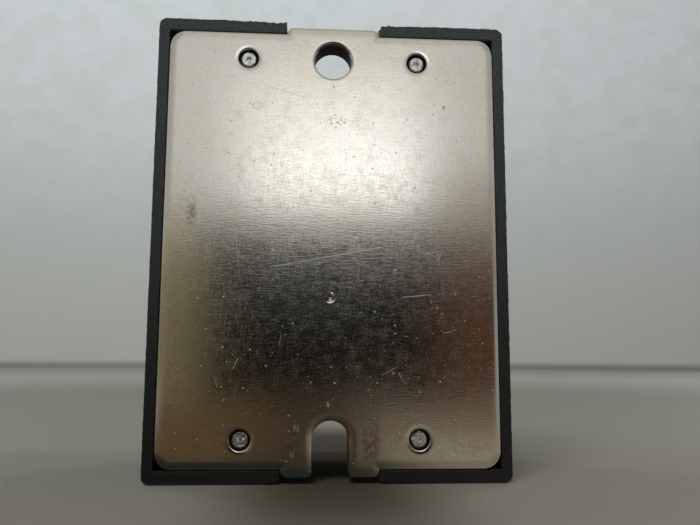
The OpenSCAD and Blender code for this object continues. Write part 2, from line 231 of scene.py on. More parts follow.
def cut(mesh, *tools):
    """Exact boolean difference of a mesh and tool meshes, as a new mesh."""
    body = linked("cut_body", mesh)
    helpers = [linked("cut_tool", tool) for tool in tools]
    for helper in helpers:
        modifier = body.modifiers.new("cut", "BOOLEAN")
        modifier.operation, modifier.solver, modifier.object = "DIFFERENCE", "EXACT", helper
    result = applied(body)
    for helper in (body, *helpers):
        bpy.data.objects.remove(helper)
    return result


def applied(piece):
    """A new mesh with the object's modifiers applied."""
    bpy.context.view_layer.update()
    evaluated = piece.evaluated_get(bpy.context.evaluated_depsgraph_get())
    return bpy.data.meshes.new_from_object(evaluated)


def soften(piece, width, angle=35):
    """Rounds a piece's hard edges with modifiers, and evens its shading."""
    weld = piece.modifiers.new("weld", "WELD")
    weld.merge_threshold = 2e-6
    merge = piece.modifiers.new("flat", "DECIMATE")
    merge.decimate_type, merge.angle_limit = "DISSOLVE", radians(0.5)
    bevel = piece.modifiers.new("bevel", "BEVEL")
    bevel.width, bevel.segments = width * MM, 2
    bevel.limit_method, bevel.angle_limit = "ANGLE", radians(angle)
    bevel.harden_normals = False
    bevel.miter_outer = "MITER_ARC"
    even_shading(piece, 80, True)
    shade(piece.data)


# ---------------------------------------------------------------- materials

class Look:
    """Small builder of node materials. A value may be a number, a colour or another node's socket."""

    def __init__(self, name):
        self.material = bpy.data.materials.new(name)
        self.material.use_nodes = True
        self.tree = self.material.node_tree
        self.shader = self.tree.nodes["Principled BSDF"]
        self.mm = self.vector("SCALE", self.node("TexCoord").outputs["Object"], scale=1 / MM)

    def node(self, kind, inputs=(), **settings):
        made = self.tree.nodes.new("ShaderNode" + kind)
        for key, value in settings.items():
            setattr(made, key, value)
        for key, value in dict(inputs).items():
            self.put(made.inputs[key], value)
        return made

    def put(self, socket, value):
        if isinstance(value, bpy.types.NodeSocket):
            self.tree.links.new(value, socket)
        elif socket.type == "RGBA" and len(value) == 3:
            socket.default_value = (*value, 1)
        else:
            socket.default_value = value

    def set(self, **values):
        """Sets the shader's own sockets, by name with _ for a space."""
        for key, value in values.items():
            self.put(self.shader.inputs[key.replace("_", " ")], value)
        return self

    def math(self, operation, a, b=0.0, c=0.0):
        made = self.node("Math", operation=operation)
        for socket, value in zip(made.inputs, (a, b, c)):
            self.put(socket, value)
        return made.outputs[0]

    def times(self, a, b):
        return self.math("MULTIPLY", a, b)

    def plus(self, a, b):
        return self.math("ADD", a, b)

    def flip(self, value):
        return self.math("SUBTRACT", 1.0, value)

    def split(self, vector=None):
        """The three sockets x, y and z of a vector, or of the place in mm."""
        return self.node("SeparateXYZ", {"Vector": vector or self.mm}).outputs[:]

    def vector(self, operation, a, b=(0, 0, 0), scale=None):
        made = self.node("VectorMath", operation=operation)
        self.put(made.inputs[0], a)
        self.put(made.inputs[1], b)
        if scale is not None:
            self.put(made.inputs["Scale"], scale)
        return made.outputs["Value" if operation in ("LENGTH", "DISTANCE", "DOT_PRODUCT") else "Vector"]

    def noise(self, size, detail=2.0, rough=0.5, seed=0.0, stretch=(1, 1, 1), at=None, output="Fac"):
        """Noise whose cells are about size mm, longer by stretch along each axis."""
        mapping = self.node("Mapping", {
            "Vector": at or self.mm,
            "Location": (seed * 7.31, seed * 3.17, seed * 5.53),
            "Scale": tuple(1 / (size * s) for s in stretch)})
        made = self.node("TexNoise", {
            "Vector": mapping.outputs[0], "Scale": 1.0, "Detail": detail, "Roughness": rough})
        return made.outputs["Color" if output == "Color" else 0]

    def turned(self, angle, about="Y"):
        """Object coordinates in mm, turned by angle degrees about an axis."""
        made = self.node("VectorRotate", {"Vector": self.mm, "Angle": radians(angle)},
                         rotation_type=about + "_AXIS")
        return made.outputs[0]

    def ramp(self, value, low, high, start=0.0, end=1.0, smooth=True):
        """value from low..high to start..end, clamped."""
        made = self.node("MapRange", {
            "Value": value, "From Min": low, "From Max": high, "To Min": start, "To Max": end})
        made.interpolation_type = "SMOOTHSTEP" if smooth else "LINEAR"
        made.clamp = True
        return made.outputs[0]

    def mix(self, factor, a, b):
        """Colour a to colour b by factor."""
        made = self.node("Mix", data_type="RGBA")
        self.put(made.inputs["Factor"], factor)
        self.put(made.inputs[6], a)
        self.put(made.inputs[7], b)
        return made.outputs[2]

    def bump(self, height, distance, strength=1.0, normal=None):
        """Bump by a height socket of 0..1, distance in mm."""
        made = self.node("Bump", {"Height": height, "Strength": strength,
                                            "Distance": distance * MM})
        if normal is not None:
            self.put(made.inputs["Normal"], normal)
        return made.outputs[0]

    def scratches(self, angle, spacing, length, seed, threshold=0.66, bend=1.2):
        """0..1 mask of fine lines on the faces across Y, at an angle, spacing mm apart and about length mm long."""
        along = self.turned(angle)
        noise = self.noise(14, detail=1, seed=seed + 40, output="Color")
        shift = self.vector("SCALE", self.vector("SUBTRACT", noise, (0.5, 0.5, 0.5)), scale=bend)
        bent = self.vector("ADD", along, shift)
        lines = self.noise(spacing, detail=0, seed=seed, stretch=(length / spacing, 8, 1), at=bent)
        return self.ramp(lines, threshold, threshold + 0.035)

    def wear(self, width):
        """0..1 near convex edges, found by comparing the true and the rounded normal."""
        bevel = self.node("Bevel", {"Radius": width * MM}, samples=4)
        geometry = self.node("NewGeometry")
        same = self.vector("DOT_PRODUCT", bevel.outputs[0], geometry.outputs["Normal"])
        return self.ramp(same, 0.995, 0.85)


def any_of(look, values):
    total = values[0]
    for value in values[1:]:
        total = look.math("MAXIMUM", total, value)
    return total


def distance_on_face(look, u, v, squash=1.0):
    """Distance in mm from the point (u, v), in the plane of the mounting face."""
    here = look.vector("SUBTRACT", look.mm, (u, 0, v))
    flat = look.vector("MULTIPLY", here, (1, 0, squash))
    return look.vector("LENGTH", flat)


def mark(look, u, v, size, soft=0.5, squash=1.0):
    """0..1 round mark on the mounting face."""
    return look.ramp(distance_on_face(look, u, v, squash), size * (1 + soft), size * (1 - soft))


def ring_mark(look, u, v, radius, width):
    """0..1 thin ring on the mounting face."""
    away = look.math("SUBTRACT", distance_on_face(look, u, v), radius)
    return look.ramp(look.math("ABSOLUTE", away), width, 0.0)


def arc_mark(look, u, v, radius, width, toward, spread):
    """Part of a thin ring: the part within spread degrees of the direction toward, in degrees from +u."""
    away = look.vector("SUBTRACT", look.mm, (u, 0, v))
    unit = look.node("VectorMath", operation="NORMALIZE")
    look.put(unit.inputs[0], look.vector("MULTIPLY", away, (1, 0, 1)))
    t = radians(toward)
    facing = look.vector("DOT_PRODUCT", unit.outputs[0], (cos(t), 0, sin(t)))
    part = look.ramp(facing, cos(radians(spread)), cos(radians(spread * 0.6)))
    return look.times(ring_mark(look, u, v, radius, width), part)


def line_mark(look, u, v, length, angle, width):
    """Straight fine scratch centred on (u, v), at an angle in degrees from +u, fading out at its ends."""
    here = look.vector("SUBTRACT", look.mm, (u, 0, v))
    c, s = cos(radians(angle)), sin(radians(angle))
    along = look.math("ABSOLUTE", look.vector("DOT_PRODUCT", here, (c, 0, s)))
    across = look.math("ABSOLUTE", look.vector("DOT_PRODUCT", here, (-s, 0, c)))
    return look.times(look.ramp(along, length / 2, length / 3), look.ramp(across, width, 0.0))


# single scratches of the mounting face: u, v, length, angle, width, strength
SCRATCHES = (
    (0.3, -1.6, 17.0, 169, 0.07, 0.45), (-10.6, -6.4, 4.2, 174, 0.08, 0.75), (-14.6, -10.8, 2.2, 164, 0.08, 0.6),
    (11.5, -14.8, 1.6, 112, 0.08, 0.7), (13.8, -17.0, 1.5, 70, 0.08, 0.7), (6.2, -12.0, 1.3, 100, 0.08, 0.6),
    (-7.2, -15.6, 2.6, 152, 0.07, 0.6), (-8.6, -16.4, 1.4, 60, 0.10, 0.8), (19.7, -7.8, 1.3, 8, 0.09, 0.7),
    (-13.4, -1.6, 1.1, 120, 0.10, 0.8), (-2.9, 1.2, 0.9, 165, 0.13, 1.0), (6.3, 19.6, 7.0, 17, 0.06, 0.55),
    (14.8, 9.5, 3.0, 62, 0.06, 0.4), (-6.0, 12.4, 4.0, 28, 0.06, 0.4), (3.0, -20.4, 3.5, 176, 0.06, 0.4))


def plate_metal():
    look = Look("plate_metal")
    depth = look.split()[1]
    # broad staining of the rolled metal, with faint green and pink clouds
    cloud = look.noise(16, detail=3, seed=1)
    fine_cloud = look.noise(1.6, detail=4, rough=0.6, seed=2)
    colour = look.mix(look.ramp(cloud, 0.35, 0.68), (0.79, 0.785, 0.745), (0.755, 0.735, 0.675))
    colour = look.mix(look.ramp(fine_cloud, 0.50, 0.78, 0.0, 0.40), colour, (0.63, 0.60, 0.52))
    colour = look.mix(look.ramp(look.noise(2.6, detail=4, seed=23), 0.52, 0.75, 0.0, 0.35), colour,
                      (0.84, 0.70, 0.60))
    colour = look.mix(look.ramp(look.noise(0.30, detail=3, rough=0.7, seed=24), 0.52, 0.72, 0.0, 0.36), colour,
                      (0.50, 0.48, 0.42))
    # brown residue below the round hole, smears and spots
    residue = look.times(mark(look, -0.3, 15.7, 1.6, 0.8, 1.9),
                        look.ramp(look.noise(0.24, detail=3, rough=0.6, seed=3), 0.52, 0.66))
    smear = look.times(any_of(look, [mark(look, 17.4, 3.6, 0.55, 0.8, 0.35),
                                                mark(look, 5.0, -25.2, 1.0, 0.7, 0.7),
                                                mark(look, -4.9, -23.9, 0.9, 0.7, 0.42)]),
                      look.ramp(look.noise(0.5, detail=4, seed=25), 0.34, 0.60))
    spots = any_of(look, [ring_mark(look, 9.6, 17.6, 0.5, 0.18), mark(look, 9.0, 5.4, 0.35),
                          mark(look, 12.7, 13.8, 0.2), mark(look, -9.5, 16.2, 0.22),
                          mark(look, -14.6, 21.4, 0.2)])
    for mask, share, stain in ((residue, 0.55, (0.35, 0.24, 0.16)), (smear, 0.75, (0.34, 0.15, 0.08)),
                               (spots, 0.35, (0.42, 0.38, 0.28))):
        colour = look.mix(look.times(mask, share), colour, stain)
    # scratches: fine drag lines both ways, a few stray ones, and arcs left by handling
    drags = any_of(look, [look.scratches(89, 0.10, 1.1, 11, 0.60, 0.3), look.scratches(96, 0.10, 2, 12, 0.70, 0.4),
                          look.scratches(1, 0.10, 1.4, 13, 0.60, 0.3)])
    strays = any_of(look, [look.scratches(a, 0.08, n, s, t, 2.5) for a, n, s, t in
                           ((14, 5, 14, 0.80), (-24, 4, 15, 0.82), (64, 4, 16, 0.82), (84, 6, 17, 0.79))])
    arcs = any_of(look, [arc_mark(look, u, v, r, 0.045, t, s) for u, v, r, t, s in
                         ((-6, -22, 19.5, 96, 18), (5, -24, 21, 70, 8), (-20, 10, 26, 338, 8))])
    cuts = any_of(look, [look.times(line_mark(look, *where), strength) for *where, strength in SCRATCHES])
    dents = any_of(look, [look.times(arc_mark(look, 0.2, -6.6, 0.62, 0.2, 200, 130), 0.45),
                          mark(look, -2.9, 1.0, 0.24, squash=2.4),
                          mark(look, 0.1, -6.9, 0.2), mark(look, -14.3, 17.9, 0.16),
                          mark(look, 4.1, -22.4, 0.22, squash=0.5), mark(look, 4.6, -25.3, 0.2, squash=0.4),
                          mark(look, -5.2, -24.6, 0.2, squash=0.35), mark(look, 0.3, -19.6, 0.14, squash=0.5)])
    face_on = look.turned(90, "X")
    flecks = []
    for size, radius, share, seed in ((1.5, 0.06, 0.62, 0.0), (2.6, 0.11, 0.66, 31.0)):
        cells = look.node("TexVoronoi", {"Scale": 1.0, "Randomness": 1.0, "Vector": look.vector(
            "SCALE", look.vector("ADD", face_on, (seed, seed, 0)), scale=1 / size)}, voronoi_dimensions="2D")
        chosen = look.ramp(look.split(cells.outputs["Color"])[0],
                           share, share + 0.02)
        dot = look.ramp(cells.outputs["Distance"], radius / size, 0.25 * radius / size)
        flecks.append(look.times(dot, chosen))
    flecks = any_of(look, flecks)
    witness = ring_mark(look, 0, mount_v, 3.95, 0.14)
    lines = any_of(look, [cuts, look.times(drags, 0.18), look.times(strays, 0.30),
                          look.times(arcs, 0.3), look.times(witness, 0.4)])
    marks = any_of(look, [dents, look.times(flecks, 0.6)])
    # grain of the rolled sheet: streaks across it, and wiping marks along it
    streaks = look.noise(0.13, detail=2, seed=22, stretch=(9, 1, 1))
    wiped = look.noise(0.14, detail=2, seed=21, stretch=(1, 1, 7))
    grit = look.noise(0.13, detail=2, rough=0.6, seed=26)
    texture = look.plus(look.times(streaks, 0.36),
                        look.plus(look.times(wiped, 0.28), look.times(grit, 0.36)))
    weave = look.ramp(texture, 0.40, 0.60)
    colour = look.mix(look.times(weave, 0.06), colour, (0.50, 0.49, 0.45))
    # punched walls: a rougher torn band under the rolled edge, painted dark as shade on the walls of the holes, the
    # slot and the outline
    wall = look.math("ABSOLUTE", look.split(look.node("NewGeometry").outputs["True Normal"])[1])
    torn = look.times(look.ramp(wall, 0.35, 0.15), look.ramp(depth, -0.5, -0.9))
    colour = look.mix(torn, colour, (0.11, 0.10, 0.09))
    rough = look.ramp(cloud, 0.3, 0.7, 0.085, 0.115, smooth=False)
    for more in (look.ramp(texture, 0.42, 0.62, 0.0, 0.098), look.ramp(fine_cloud, 0.4, 0.75, 0.0, 0.05),
                 look.times(any_of(look, [lines, marks]), 0.10), look.times(cuts, 0.30),
                 look.times(any_of(look, [residue, smear]), 0.25), look.times(torn, 0.35)):
        rough = look.plus(rough, more)
    normal = look.bump(look.noise(11, detail=1, seed=31), 0.03, 0.5)
    normal = look.bump(texture, 0.006, 0.5, normal)
    normal = look.bump(streaks, 0.006, 0.5, normal)
    normal = look.bump(look.flip(lines), 0.006, 0.6, normal)
    normal = look.bump(look.flip(marks), 0.045, 0.9, normal)
    look.set(Base_Color=colour, Metallic=1.0, Roughness=rough, Normal=normal)
    return look.material


def moulded_plastic():
    look = Look("moulded_plastic")
    tone = look.noise(6, detail=3, seed=4)
    speck = look.noise(0.16, detail=2, seed=5)
    colour = look.mix(look.ramp(tone, 0.3, 0.7), (0.0035, 0.0040, 0.0045), (0.0055, 0.0062, 0.0068))
    colour = look.mix(look.ramp(speck, 0.55, 0.70, 0.0, 0.8), colour, (0.016, 0.018, 0.020))
    dust = look.times(look.ramp(look.noise(0.5, detail=5, rough=0.7, seed=6), 0.62, 0.72),
                     look.ramp(look.noise(9, seed=7), 0.5, 0.7))
    colour = look.mix(look.times(dust, 0.25), colour, (0.12, 0.115, 0.105))
    rub = look.times(look.wear(0.3), look.ramp(look.noise(1.3, detail=4, seed=8), 0.4, 0.65))
    colour = look.mix(look.times(rub, 0.5), colour, (0.06, 0.062, 0.064))
    _, depth, height = look.split()
    # painted light: the rim at the mounting face is lighter and bluer towards the top, broken into patches
    rim = look.times(look.ramp(depth, -1.2, -0.5), look.ramp(height, -22, 24))
    rim_light_patches = look.ramp(look.noise(0.22, detail=3, rough=0.7, seed=10), 0.34, 0.66, 0.25, 1.0)
    colour = look.mix(look.times(rim, rim_light_patches), colour, (0.054, 0.064, 0.068))
    scuffs = any_of(look, [look.scratches(30, 0.2, 6, 41, 0.73), look.scratches(-50, 0.2, 5, 42, 0.74)])
    rough = look.ramp(speck, 0.3, 0.75, 0.34, 0.52, smooth=False)
    rough = look.math("SUBTRACT", rough, look.times(rub, 0.12))
    grain = look.noise(0.17, detail=3, rough=0.65, seed=9)
    normal = look.bump(grain, 0.085, 1.0)
    normal = look.bump(look.flip(scuffs), 0.015, 0.5, normal)
    look.set(Base_Color=colour, Roughness=rough, Normal=normal, Specular_IOR_Level=0.42)
    return look.material


def plated_metal(name, bright, dull, rough_low, rough_high, grain=0.004, seed=0.0, dirt=0.3, dents=0.0):
    """Plated or bare metal for fittings: cloudy tone, fine grain, scratches, and patchy dirt."""
    look = Look(name)
    cloud = look.noise(1.8, detail=4, rough=0.6, seed=seed)
    colour = look.mix(look.ramp(cloud, 0.35, 0.7), bright, dull)
    grime = look.ramp(look.noise(0.5, detail=5, rough=0.65, seed=seed + 1), 0.55, 0.72)
    colour = look.mix(look.times(grime, dirt), colour, tuple(0.4 * c for c in dull))
    lines = any_of(look, [look.scratches(18, 0.09, 2.5, seed + 2, 0.68),
                          look.scratches(-47, 0.10, 2, seed + 3, 0.69)])
    rough = look.ramp(cloud, 0.3, 0.72, rough_low, rough_high, smooth=False)
    rough = look.plus(rough, look.times(grime, 0.2))
    normal = look.bump(look.noise(0.09, detail=3, seed=seed + 4), grain, 0.6)
    normal = look.bump(look.flip(lines), 0.008, 0.5, normal)
    if dents:
        normal = look.bump(look.noise(0.7, detail=1, seed=seed + 5), dents, 1.0, normal)
    look.set(Base_Color=colour, Metallic=1.0, Roughness=rough, Normal=normal)
    return look.material


def coated(name, base, accent, rough, bump_size=0.4, bump_depth=0.01, seed=0.0, coat=0.0, **extra):
    """Plastic, resin, ceramic or lacquer: two tones in clouds and specks, with a fine uneven surface."""
    look = Look(name)
    cloud = look.noise(2.5, detail=3, seed=seed)
    speck = look.noise(0.2, detail=3, seed=seed + 1)
    colour = look.mix(look.ramp(cloud, 0.35, 0.68), base, accent)
    colour = look.mix(look.ramp(speck, 0.62, 0.75, 0.0, 0.35), colour, tuple(0.6 * c for c in base))
    roughness = look.ramp(speck, 0.3, 0.75, rough * 0.85, min(rough * 1.2, 1.0), smooth=False)
    normal = look.bump(look.noise(bump_size, detail=3, seed=seed + 2), bump_depth, 0.6)
    look.set(Base_Color=colour, Roughness=roughness, Normal=normal, Coat_Weight=coat, **extra)
    return look.material


# ---------------------------------------------------------------- base plate

PLATE_CORNERS = (
    (slot_half, -tab_reach, 0.5), (tab_half, -tab_reach, 0.85), (tab_half, -plate_half_l, -0.04),
    (plate_half_w, -plate_half_l, 2.0), (plate_half_w, plate_half_l, 2.0),
    (tab_half, plate_half_l, -0.04), (tab_half, tab_reach, 0.85), (-tab_half, tab_reach, 0.85),
    (-tab_half, plate_half_l, -0.04), (-plate_half_w, plate_half_l, 2.0),
    (-plate_half_w, -plate_half_l, 2.0), (-tab_half, -plate_half_l, -0.04),
    (-tab_half, -tab_reach, 0.85), (-slot_half, -tab_reach, 0.5),
    (-slot_half, -mount_v + slot_half, -slot_half), (slot_half, -mount_v + slot_half, -slot_half))


def rolled_edge(width, depth, burr, steps=9):
    """(inset, height) pairs from the wall of a punched edge to the flat face, rounded over by the punch."""
    profile = [(0.0, depth + burr * 1.2), (burr * 0.12, depth + burr * 0.55), (burr * 0.4, depth + burr * 0.15)]
    for k in range(steps + 1):
        t = k / steps
        profile.append((burr * 0.6 + (width - burr * 0.6) * t, depth * (1 - t) ** 2.3))
    return profile


def base_plate_piece(material):
    points, faces = [], []

    def add(rings):
        base, size = len(points), len(rings[0])
        for ring in rings:
            points.extend(ring)
        faces.extend(tuple(base + i for i in f) for f in rings_to_faces(len(rings), size))
        return base, size, len(rings)

    back = plate_t
    profile = [(0.08, back), (0.0, back - 0.08)] + rolled_edge(1.10, 0.17, 0.08)
    rings = [[(u, v, w) for u, v in rounded_loop(PLATE_CORNERS, inset - 0.07, 10)] for inset, w in profile]
    outer = [(add(rings), True)]
    holes = [(0.0, mount_v, hole_r, 0.34, 0.09, 0.08, 96)]
    holes += [(u, v, 1.29, 0.62, 0.06, 0.1, 48) for u, v in CASE_SCREWS]
    for u, v, r, width, depth, burr, steps in holes:
        profile = [(0.05, back), (0.0, back - 0.05)] + rolled_edge(width, depth, burr, 6)
        rings = [circle(u, v, r + d, w, -steps) for d, w in profile]
        outer.append((add(rings), False))
    # flat faces between the rings: the mounting face from the last rings, the inner face from the first
    for last in (True, False):
        index, flat, edges = [], [], []
        for (base, size, count), _ in outer:
            start = base + (count - 1) * size if last else base
            first = len(flat)
            index += range(start, start + size)
            flat += [Vector(points[i][:2]) for i in range(start, start + size)]
            edges += [(first + k, first + (k + 1) % size) for k in range(size)]
        verts, _, triangles, sources, _, _ = delaunay_2d_cdt(flat, edges, [], 1, 1e-6)
        for tri in triangles:
            centre = sum((verts[i] for i in tri), Vector((0, 0))) / 3
            if all((centre - Vector((u, v))).length > r + (width if last else 0.05) * 0.98
                   for u, v, r, width, *_ in holes):
                faces.append(tuple(index[sources[i][0]] for i in tri))
    mesh = mesh_from("base_plate_shape", points, faces)
    even_shading(new_object("base_plate_metal", mesh, "root", material, ["base_plate"]), 100)


# ---------------------------------------------------------------- case

# u, v, reach and depth of the chips in the rim beside the notches
CHIPS = ((7.2, case_half_l, 1.0, 0.75), (8.6, case_half_l, 1.3, 0.40), (11.2, case_half_l, 1.5, 0.20),
         (-6.1, case_half_l, 1.0, 0.60), (-8.3, case_half_l, 1.2, 0.18), (6.1, -case_half_l, 0.6, 0.25))


RIM_WAVE = 0.08    # how far the rim wanders, in mm
RIM_ROUNDING = 0.16
TOP_FROM, DECK_FROM = 24.9, 16.9    # heights above which edges belong to the case's top and to its terminal decks


def case_piece(material):
    """The moulded case with rounded edges, a slightly ragged rim and chipped ends beside the round hole's notch."""
    bm = bmesh.new()
    bm.from_mesh(nodes["case"].data)
    bmesh.ops.remove_doubles(bm, verts=bm.verts, dist=2e-6)
    bmesh.ops.dissolve_limit(bm, angle_limit=radians(0.5), verts=bm.verts, edges=bm.edges)

    def sharp(edge):
        return edge.is_convex and len(edge.link_faces) == 2 and edge.calc_face_angle() > radians(35)

    def height(vertex):
        return -vertex.co.y / MM

    at_rim = [e for e in bm.edges if sharp(e) and all(height(v) < rim_w + 0.02 for v in e.verts)]
    at_top = [e for e in bm.edges if sharp(e) and all(height(v) > TOP_FROM for v in e.verts)]
    upright_long = [e for e in bm.edges if sharp(e) and abs(height(e.verts[0]) - height(e.verts[1])) > 5
                    and all(height(v) < rim_w + 0.02 or height(v) > DECK_FROM for v in e.verts)]
    rounded = list(dict.fromkeys(at_rim + at_top + upright_long))
    bmesh.ops.bevel(bm, geom=rounded, offset=RIM_ROUNDING * MM, offset_type="OFFSET", segments=3, profile=0.5,
                    affect="EDGES", clamp_overlap=False)
    # cross-cuts along the rim, so that it can wander
    lip, deep, step = rim_w + 0.3, rim_w + 1.6, 0.21

    def part_at(geometry, at, across):
        return bmesh.ops.bisect_plane(bm, geom=geometry, dist=1e-7, plane_co=at, plane_no=across)["geom"]

    for w in (lip, rim_w + 0.8, deep):
        part_at(bm.verts[:] + bm.edges[:] + bm.faces[:], place(0, 0, w), (0, 1, 0))
    near = [f for f in bm.faces if all(height(v) < deep + 0.01 for v in f.verts)]
    near += list({e for f in near for e in f.edges}) + list({v for f in near for v in f.verts})
    for half, along in ((case_half_w, Vector((1, 0, 0))), (case_half_l, Vector((0, 0, 1)))):
        count = round(2 * half / step)
        for k in range(1, count):
            near = part_at(near, along * (2 * half * k / count - half) * MM, along)
    bm.normal_update()
    for vertex in bm.verts:
        w = height(vertex)
        if w > deep - 0.01:
            continue
        u, v = vertex.co.x / MM, vertex.co.z / MM
        outward = Vector((vertex.normal.x, 0, vertex.normal.z))
        at = Vector((u, v, w))
        ripple = 0.5 + noise.noise(at * 2.6) + 0.6 * noise.noise(at * 6.1)
        depth = RIM_WAVE * max(0.0, ripple) * min(1.0, max(0.0, lip - w) / 0.15)
        for chip_u, chip_v, reach, bite in CHIPS:
            gap = hypot(u - chip_u, v - chip_v) / reach
            if gap < 1:
                torn = 0.75 + 0.9 * noise.noise(at * 2.3) + 0.7 * noise.noise(at * 5.1)
                depth += bite * (1 - gap * gap) * max(0.0, torn) * min(1.0, (deep - w) / 0.8)
        vertex.co -= outward * depth * MM
        vertex.co.y -= 0.3 * depth * MM
    mesh = mesh_of("case_shape", bm)
    shade(mesh)
    even_shading(new_object("case_moulding", mesh, "root", material, ["case"]), 80, True)


# ---------------------------------------------------------------- terminals

SCREW_TIP, SCREW_SEAT, SCREW_TOP = 10.22, 20.22, 23.22
PITCH, CREST_R, ROOT_R = 0.7, 1.99, 1.60


def threaded_shank():
    """Right-handed M4 thread with a chamfered tip, closed at both ends."""
    steps, rows = 32, 8
    low, high = SCREW_TIP, SCREW_SEAT + 0.1
    count = round((high - low) / PITCH * rows)
    points = []
    for i in range(count + 1):
        w = low + (high - low) * i / count
        limit = min(CREST_R, ROOT_R - 0.25 + (w - low) * 0.95, ROOT_R + max(0.0, high - 0.5 - w))
        for k in range(steps):
            turn = k / steps
            phase = abs((w / PITCH - turn) % 1.0 - 0.5) * 2
            r = min(ROOT_R + (CREST_R - ROOT_R) * min(1.0, max(0.0, phase * 1.35 - 0.15)), max(limit, ROOT_R - 0.25))
            points.append((r * cos(2 * pi * turn), r * sin(2 * pi * turn), w))
    return points, closed_stack(count + 1, steps)


def tapered_cross(arm, width, depth, top):
    """Points and faces of a four-armed recess that narrows downwards."""
    outline = []
    for quarter in range(4):
        for a, b in ((arm, -width), (arm, width), (width, width)):
            c, s = cos(quarter * pi / 2), sin(quarter * pi / 2)
            outline.append((a * c - b * s, a * s + b * c))
    points = [(u * k, v * k, w) for k, w in ((0.45, top - depth), (1.0, top), (1.0, top + 1)) for u, v in outline]
    return points, closed_stack(3, 12)


def box_shape(w, l, low, high):
    points = [(su * w / 2, sv * l / 2, z) for z in (low, high) for su, sv in ((-1, -1), (1, -1), (1, 1), (-1, 1))]
    return points, closed_stack(2, 4)


def terminal_screw_piece(n, material):
    u, v = TERMINALS[n]
    head = [(r, SCREW_SEAT + w) for r, w in (
        (1.5, 0), (3.72, 0), (3.86, 0.1), (3.9, 0.3), (3.9, 1.55), (3.85, 1.8), (3.68, 2.1), (3.35, 2.4),
        (2.85, 2.65), (2.2, 2.84), (1.4, 2.94), (0.6, 2.985))] + [(0.15, SCREW_TOP)]

    def part(name, shape):
        return mesh_from(f"{name}_{n}", moved(shape[0], u, v), shape[1], smooth=False)

    body = cut(part("head", lathe(head, 72)),
               part("slot", box_shape(9, 1.1, SCREW_SEAT + 1.55, SCREW_TOP + 1)),
               part("cross", tapered_cross(2.35, 0.5, 1.9, SCREW_SEAT + 2.75)))
    whole = merged(f"terminal_screw_{n}_shape", body, part("shank", threaded_shank()))
    piece = new_object(f"terminal_screw_{n}_steel", whole, f"screw_{n}", material,
                       [f"terminal_screw_{n}"])
    soften(piece, 0.07, angle=38)


def merged(name, *meshes):
    """One mesh from several closed shells."""
    bm = bmesh.new()
    for mesh in meshes:
        bm.from_mesh(mesh)
    return mesh_of(name, bm)


def lock_washer_piece(n, material):
    """Split spring washer: a rectangular wire, one end standing above the other."""
    u, v = TERMINALS[n]
    low, high = node_box(f"lock_washer_{n}")
    bottom, top = low[2], high[2]
    inner, outer, wire, steps = 2.12, 3.28, 0.68, 72
    rise = top - bottom - wire
    gap = degrees(0.2 / 2.7)
    rings = []
    for k in range(steps + 1):
        turn = radians(gap + (360 - 2 * gap) * k / steps)
        base = bottom + rise * k / steps
        c, s = cos(turn), sin(turn)
        edge = 0.07
        section = [(inner + edge, base), (outer - edge, base), (outer, base + edge), (outer, base + wire - edge),
                   (outer - edge, base + wire), (inner + edge, base + wire), (inner, base + wire - edge),
                   (inner, base + edge)]
        rings.append([(u + r * c, v + r * s, w) for r, w in section])
    mesh = mesh_from(f"lock_washer_{n}_shape", [p for ring in rings for p in ring], closed_stack(steps + 1, 8))
    even_shading(new_object(f"lock_washer_{n}_steel", mesh, f"clamp_{n}", material,
                            [f"lock_washer_{n}"]), 90)


# ---------------------------------------------------------------- case markings, label and light

def lettering(text, size, u, v, top, thick, name):
    """Characters that read with the round-hole end up, as thick as thick and ending at the height top."""
    curve = bpy.data.curves.new(name, "FONT")
    curve.body, curve.size = text, size
    curve.align_x, curve.align_y = "CENTER", "CENTER"
    curve.extrude, curve.resolution_u = thick / 2, 4
    holder = linked(name, curve)
    shape = applied(holder)
    bpy.data.objects.remove(holder)
    for vertex in shape.vertices:
        x, y, z = vertex.co
        vertex.co = place(u + x, v + y, top - thick / 2 + z)
    tidy_mesh(shape)
    return shape


def stroke(points, width, top, thick, name):
    """A line of constant width along 2-D points, as one closed strip."""
    half, left, right = width / 2, [], []
    for i, point in enumerate(points):
        here = Vector(point)
        before = (here - Vector(points[i - 1])).normalized() if i else None
        after = (Vector(points[i + 1]) - here).normalized() if i + 1 < len(points) else None
        before, after = before or after, after or before
        side = Vector((-before.y - after.y, before.x + after.x)).normalized()
        side *= half / max(0.4, side.dot(Vector((-after.y, after.x))))
        left.append(here + side)
        right.append(here - side)
    outline = [(p.x, p.y) for p in left + right[::-1]]
    size = len(outline)
    shape = [(u, v, w) for w in (top - thick, top) for u, v in outline]
    faces = rings_to_faces(2, size)
    for base in (0, size):
        faces += [(base + i, base + i + 1, base + size - 2 - i, base + size - 1 - i) for i in range(len(points) - 1)]
    return mesh_from(name, shape, faces, smooth=False)


def case_marks(material):
    """Raised terminal numbers and polarity signs of the moulding."""
    top = case_h + 0.14
    shapes = [lettering(str(n), 2.3, u, copysign(9.35 if v > 0 else 8.6, v) - 0.1, top, 0.2, f"mark_{n}")
              for n, (u, v) in TERMINALS.items()]
    for n, sign in ((3, "+"), (4, "-")):
        u, v = TERMINALS[n]
        arms = [[(-0.6, 0), (0.6, 0)]] + ([[(0, -0.6), (0, 0.6)]] if sign == "+" else [])
        for i, arm in enumerate(arms):
            centre = u - copysign(3.2, u)
            shapes.append(stroke([(centre + x, y - 8.6) for x, y in arm], 0.26, top - 0.004 * i, 0.2 - 0.004 * i,
                                 f"sign_{n}_{i}"))
    mesh = merged("case_marks_shape", *shapes)
    piece = new_object("case_marks", mesh, "root", material)
    bevel = piece.modifiers.new("bevel", "BEVEL")
    bevel.width, bevel.segments, bevel.limit_method = 0.03 * MM, 1, "ANGLE"


